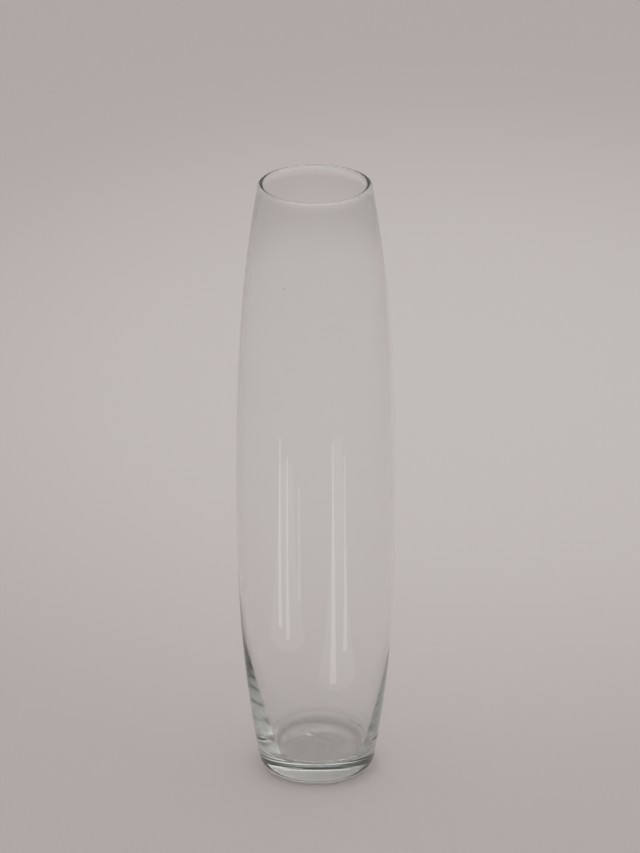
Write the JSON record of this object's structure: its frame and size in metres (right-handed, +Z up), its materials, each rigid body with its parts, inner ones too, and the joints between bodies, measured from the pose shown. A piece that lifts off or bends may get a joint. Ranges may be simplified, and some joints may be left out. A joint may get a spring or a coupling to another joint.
{
  "type": "glass flower vase",
  "caption": "Tall slim barrel-shaped clear glass vase with a narrower round mouth, a rounded rim and a heavy floor, for long-stemmed flowers.",
  "frame": {"origin": "centre of the standing ring under the vase, on the surface it stands on", "axes": "+Z up along the vase's axis, towards the mouth; the vase is round, so +X and +Y are free choices"},
  "size_m": [0.1014, 0.1014, 0.4],
  "materials": {
    "clear_glass": "clear soda-lime glass, fire-polished"
  },
  "bodies": {
    "root": {"glass_vase": "clear_glass"}
  },
  "joints": []
}
